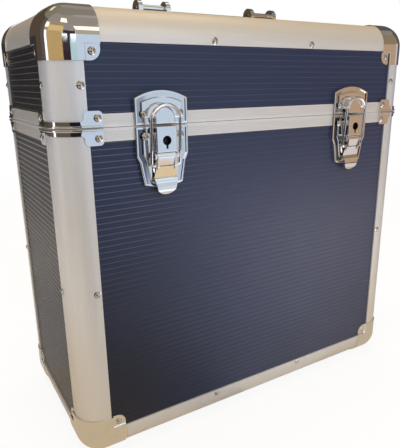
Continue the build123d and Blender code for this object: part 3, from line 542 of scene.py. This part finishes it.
def lock_barrel(side):
    """The dark works behind a keyhole: a well with a key post in it."""
    low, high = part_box(f"lock_housing_{side}")
    middle_x = (low.x + high.x) / 2
    key_z = joint_z - key_drop
    face_y = low.y + lock_wall + barrel_gap
    bm = bmesh.new()
    ring = bmesh.ops.create_circle(bm, cap_ends=False, segments=40, radius=barrel_r)["verts"]
    inner = verts_of(bmesh.ops.extrude_edge_only(bm, edges=list(bm.edges)))
    for v in inner:
        v.co *= well_r / barrel_r
    well = verts_of(bmesh.ops.extrude_edge_only(bm, edges=edges_within(bm, inner)))
    for v in well:
        v.co.z -= well_deep
    bmesh.ops.contextual_create(bm, geom=well)
    skirt = verts_of(bmesh.ops.extrude_edge_only(bm, edges=edges_within(bm, ring)))
    for v in skirt:
        v.co.z -= barrel_long
    bmesh.ops.contextual_create(bm, geom=skirt)
    post = bmesh.ops.create_cone(bm, cap_ends=True, segments=20, radius1=post_foot_r, radius2=post_tip_r,
                                 depth=post_long)
    for v in post["verts"]:
        v.co.z -= post_in
    bm.transform(Matrix.Translation((middle_x, face_y, key_z)) @ Matrix.Rotation(math.pi / 2, 4, "X"))
    piece = finished(f"lock_barrel_{side}", bm, barrel_black, "base", smooth=False)


for side in ("left", "right"):
    lock_barrel(side)

# ---- floor -------------------------------------------------------------------------------------------

floor_half = 8.0
floor_near, floor_far = 0.5, 1.6          # between these distances the floor turns from nearly to fully white
floor_least = 0.88


def staged(name, bm, material):
    """A piece of the set, which isn't part of the case."""
    thing = linked(name, bm, material)
    return thing


def pale_ground():
    """Pale floor that shows white to the eye and to metal, and keeps the shadow."""
    f = Finish("floor_pale")
    f.done(Base_Color=floor_white, Roughness=0.9)
    seen, mirrored, clear = (f.node("ShaderNodeLightPath", out=f"Is {kind} Ray")
                             for kind in ("Camera", "Glossy", "Transmission"))
    place = f.place()
    x, y = f.axis(place, "X"), f.axis(place, "Y")
    reach = (x * x + y * y).math("SQRT")
    show = (seen + mirrored + clear).math("MINIMUM", 1.0) * f.band(reach, floor_near, floor_far, floor_least, 1.0)
    glow = f.node("ShaderNodeEmission", {"Color": white})
    surface = f.mixed(show, Value(f, f.shader.outputs[0]), glow)
    f.fill(next(n for n in f.tree.nodes if n.type == "OUTPUT_MATERIAL"), {"Surface": surface})
    return f.material


bm = bmesh.new()
bmesh.ops.create_grid(bm, x_segments=1, y_segments=1, size=floor_half)
staged("floor", bm, pale_ground())

# ---- cards that only show in polished metal ----------------------------------------------------------

room = 0.75                               # radius of the ring of cards
shelf, shelf_half = 2.3, 1.6              # the ceiling card: height, half size
apron_z = 0.0015
spin_step = 5                             # degrees


def plain_glow(name, tone):
    f = Finish(name)
    return f.done(Base_Color=black, Specular_IOR_Level=0.0, Emission_Color=(*tone, 1), Emission_Strength=1.0)


def mirrored_only(name, bm, tone):
    """A coloured card beside the set that only shows in polished metal."""
    thing = staged(name, bm, plain_glow(name, tone))
    thing.visible_camera = False
    thing.visible_diffuse = False
    thing.visible_shadow = False
    thing.visible_transmission = False


def card(name, tone, start, stop, foot, head):
    """A bent card swung from one bearing to another; foot and head are its edges, as (radius, height)."""
    bm = bmesh.new()
    ends = [bm.verts.new((radius, 0, height)) for radius, height in (foot, head)]
    edge = bm.edges.new(ends)
    bmesh.ops.rotate(bm, verts=bm.verts, cent=(0, 0, 0), matrix=Matrix.Rotation(math.radians(start), 3, "Z"))
    bmesh.ops.spin(bm, geom=[*ends, edge], cent=(0, 0, 0), axis=(0, 0, 1), angle=math.radians(stop - start),
                   steps=max(3, round((stop - start) / spin_step)))
    mirrored_only(name, bm, tone)


def wall(name, tone, start, stop, low, high):
    card(f"wall_{name}", tone, start, stop, (room, low), (room, high))


def apron(name, tone, start, stop, near, far):
    card(f"apron_{name}", tone, start, stop, (near, apron_z), (far, apron_z))


taupe = (0.29, 0.255, 0.22)
olive = (0.085, 0.060, 0.040)
olive_pale = (0.21, 0.185, 0.125)
sky_pale = (0.526, 0.621, 0.743)
lamp_white = (1.6, 1.6, 1.65)

# name, tone, bearings in degrees from +X over +Y, lower and upper edge in metres
for row in (
    ("back", (0.17, 0.14, 0.10), 40, 95, 0.25, 1.3),
    ("back_high", taupe, 42, 95, 1.3, shelf),
    ("back_low", (0.06, 0.06, 0.065), 0, 95, 0, 0.25),
    ("right", (0.10, 0.09, 0.09), 0, 40, 0.25, 1.45),
    ("skylight", (1.1, 1.05, 0.95), 0, 42, 1.45, shelf),
    ("left_low", (0.42, 0.40, 0.39), 95, 176, 0, 0.20),
    ("olive", olive, 95, 160, 0.41, 0.95),
    ("dark_side", (0.036, 0.032, 0.032), 95, 128, 0.20, 0.41),
    ("olive_low", olive, 128, 160, 0.20, 0.41),
    ("fanlight", (0.82, 0.76, 0.56), 108, 134, 1.20, 1.50),
    ("olive_high", olive_pale, 134, 176, 0.95, shelf),
    ("olive_side", olive_pale, 95, 108, 0.95, shelf),
    ("olive_over", olive_pale, 108, 134, 1.50, shelf),
    ("olive_under", (0.16, 0.13, 0.085), 108, 134, 0.95, 1.20),
    ("jamb", (0.10, 0.088, 0.080), 160, 176, 0.20, 0.95),
    ("gleam", (1.25, 1.25, 1.25), 176, 184, 0.04, 0.50),
    ("gleam_gap", (0.40, 0.30, 0.20), 176, 190, 0.50, 0.60),
    ("gleam_top", (1.15, 1.08, 0.86), 176, 190, 0.60, 0.80),
    ("tan_low", (0.10, 0.085, 0.07), 184, 230, 0, 0.28),
    ("tan", (0.49, 0.33, 0.14), 184, 230, 0.28, 0.50),
    ("tan_bright", (0.68, 0.47, 0.21), 190, 236, 0.50, 0.70),
    ("tan_top", (0.34, 0.26, 0.16), 190, 236, 0.70, 0.90),
    ("door_low", (0.014, 0.012, 0.017), 230, 264, 0, 0.30),
    ("door", (0.035, 0.018, 0.024), 230, 252, 0.30, 0.379),
    ("door_gap", (0.05, 0.045, 0.06), 245, 255, 0.379, 0.46),
    ("door_head", (0.035, 0.030, 0.035), 232, 267, 0.46, 0.53),
    ("lamp_left", lamp_white, 231, 245, 0.379, 0.46),
    ("lamp_right", lamp_white, 255, 266, 0.379, 0.46),
    ("above_door", (0.30, 0.26, 0.24), 236, 268, 0.53, 0.90),
    ("cyan", (0.44, 0.60, 0.64), 252, 268, 0.30, 0.379),
    ("pale", sky_pale, 268, 293, 0.14, 0.395),
    ("under_pale", (0.12, 0.14, 0.19), 264, 280, 0, 0.14),
    ("pale_foot", sky_pale, 280, 293, 0.055, 0.14),
    ("cream_foot", (0.66, 0.58, 0.47), 280, 291, 0, 0.055),
    ("pale_low", sky_pale, 264, 268, 0.14, 0.30),
    ("sill", (0.90, 0.96, 1.0), 268, 296, 0.395, 0.455),
    ("sash", (0.42, 0.36, 0.28), 268, 282, 0.455, 0.57),
    ("pane", (0.62, 0.69, 0.80), 282, 297, 0.455, 0.72),
    ("daylight", (1.2, 1.12, 0.96), 268, 282, 0.57, 0.76),
    ("pane_high", (0.85, 0.86, 0.84), 282, 297, 0.72, 0.90),
    ("pelmet", (0.52, 0.50, 0.44), 297, 312, 0.90, 1.25),
    ("upper", taupe, 176, 297, 0.90, shelf),
    ("upper_mid", taupe, 268, 282, 0.76, 0.90),
    ("upper_right", (0.34, 0.32, 0.265), 297, 360, 1.25, shelf),
    ("over_warm", (0.25, 0.22, 0.17), 312, 360, 0.78, 1.25),
    ("over_pane", taupe, 297, 312, 0.78, 0.90),
    ("upper_left", taupe, 176, 190, 0.80, 0.90),
    ("pier", (0.50, 0.47, 0.44), 293, 306, 0.12, 0.455),
    ("warm", (0.455, 0.308, 0.198), 306, 336, 0.12, 0.455),
    ("under_warm", (0.06, 0.05, 0.045), 293, 336, 0.055, 0.12),
    ("warm_high", (0.25, 0.19, 0.12), 297, 345, 0.455, 0.78),
    ("rose", (0.60, 0.56, 0.62), 336, 350, 0.05, 0.45),
    ("shade", (0.10, 0.09, 0.09), 345, 360, 0.05, 0.78),
):
    wall(*row)

in_front = room - 0.02
card("window_panes", (1.3, 1.22, 1.0), 225, 250, (in_front, 0.90), (in_front, 1.34))
wall("white_low", (2.0, 2.0, 2.3), 291, 318, 0, 0.055)
wall("cream_low", (0.66, 0.60, 0.58), 318, 336, 0, 0.055)

# name, tone, bearings, and inner and outer radius; the case stands inside the near ones
apron_near, apron_mid, apron_far = 0.22, 0.355, 0.425
for row in (
    ("near_side", (0.52, 0.48, 0.47), 95, 160, 0, apron_far),
    ("near_left", (0.53, 0.41, 0.27), 160, 230, 0, apron_far),
    ("near_dark", (0.36, 0.31, 0.26), 230, 262, 0, apron_far),
    ("near_mid", (0.62, 0.56, 0.48), 262, 318, 0, apron_near),
    ("near_front", (1.0, 1.05, 1.18), 262, 318, apron_near, apron_mid),
    ("tan", (0.73, 0.55, 0.33), 262, 318, apron_mid, apron_far),
    ("near_right", (0.52, 0.42, 0.295), 318, 455, 0, apron_far),
    ("left", (0.78, 0.72, 0.66), 95, 230, apron_far, room),
    ("front_left", (0.14, 0.14, 0.16), 230, 274, apron_far, room),
    ("front", (0.62, 0.68, 0.79), 274, 289, apron_far, room),
    ("front_bright", (2.2, 2.2, 2.5), 289, 317, apron_far, room),
    ("front_right", (0.66, 0.58, 0.54), 317, 345, apron_far, room),
    ("right", (0.30, 0.28, 0.27), 345, 455, apron_far, room),
):
    apron(*row)

bm = bmesh.new()
bmesh.ops.create_grid(bm, x_segments=1, y_segments=1, size=shelf_half)
bmesh.ops.translate(bm, verts=bm.verts, vec=(0, 0, shelf))
mirrored_only("ceiling", bm, (0.235, 0.20, 0.165))

# ---- world, lamps and camera -------------------------------------------------------------------------

world = bpy.data.worlds.new("studio")
scene.world = world
world.use_nodes = True
world.node_tree.nodes.clear()
sky = Writer(world.node_tree)
seen, mirrored = (sky.node("ShaderNodeLightPath", out=f"Is {kind} Ray") for kind in ("Camera", "Glossy"))
soft = sky.node("ShaderNodeBackground", {"Color": (0.95, 0.97, 1.0, 1), "Strength": 0.30})
plain = sky.node("ShaderNodeBackground", {"Color": white, "Strength": 1.0})
sky.fill(world.node_tree.nodes.new("ShaderNodeOutputWorld"),
         {"Surface": sky.mixed(seen.math("MAXIMUM", mirrored), soft, plain)})


def lamp(name, place, target, size, watts, tone):
    """A square lamp that polished metal doesn't mirror."""
    data = bpy.data.lights.new(name, "AREA")
    data.shape = "RECTANGLE"
    data.size = data.size_y = size
    data.energy = watts
    data.color = tone
    thing = bpy.data.objects.new(name, data)
    thing.location = place
    thing.rotation_euler = (Vector(target) - Vector(place)).to_track_quat("-Z", "Y").to_euler()
    thing.visible_glossy = False
    scene.collection.objects.link(thing)


lamp("key", (0.15, -1.7, 1.2), (0, 0, 0.2), 1.2, 19.5, (1.0, 0.985, 0.965))
lamp("side", (-1.6, -0.5, 0.9), (0, 0, 0.2), 1.0, 7.5, (1.0, 0.99, 0.98))
lamp("top", (0.0, 0.2, 1.9), (0, 0, 0.3), 1.4, 32, (1.0, 0.82, 0.55))

# the camera that took the photo, fitted to the case's corners, seams and rivets
photo_wide, photo_high = 400, 448         # pixels
focal, optical_x, optical_y = 485.916, 209.975, 225.603
sensor = 36.0
camera = bpy.data.objects.new("camera", bpy.data.cameras.new("camera"))
scene.collection.objects.link(camera)
camera.location = (-0.25690, -0.41445, 0.30040)
camera.rotation_euler = Euler(tuple(math.radians(a) for a in (73.55043, 0.54276, -31.54601)))
camera.data.sensor_width = sensor
camera.data.lens = focal * sensor / photo_high
camera.data.shift_x = (photo_wide / 2 - optical_x) / photo_high
camera.data.shift_y = (optical_y - photo_high / 2) / photo_high
camera.data.clip_start, camera.data.clip_end = 0.01, 50
scene.camera = camera

scene.view_settings.view_transform = "Standard"
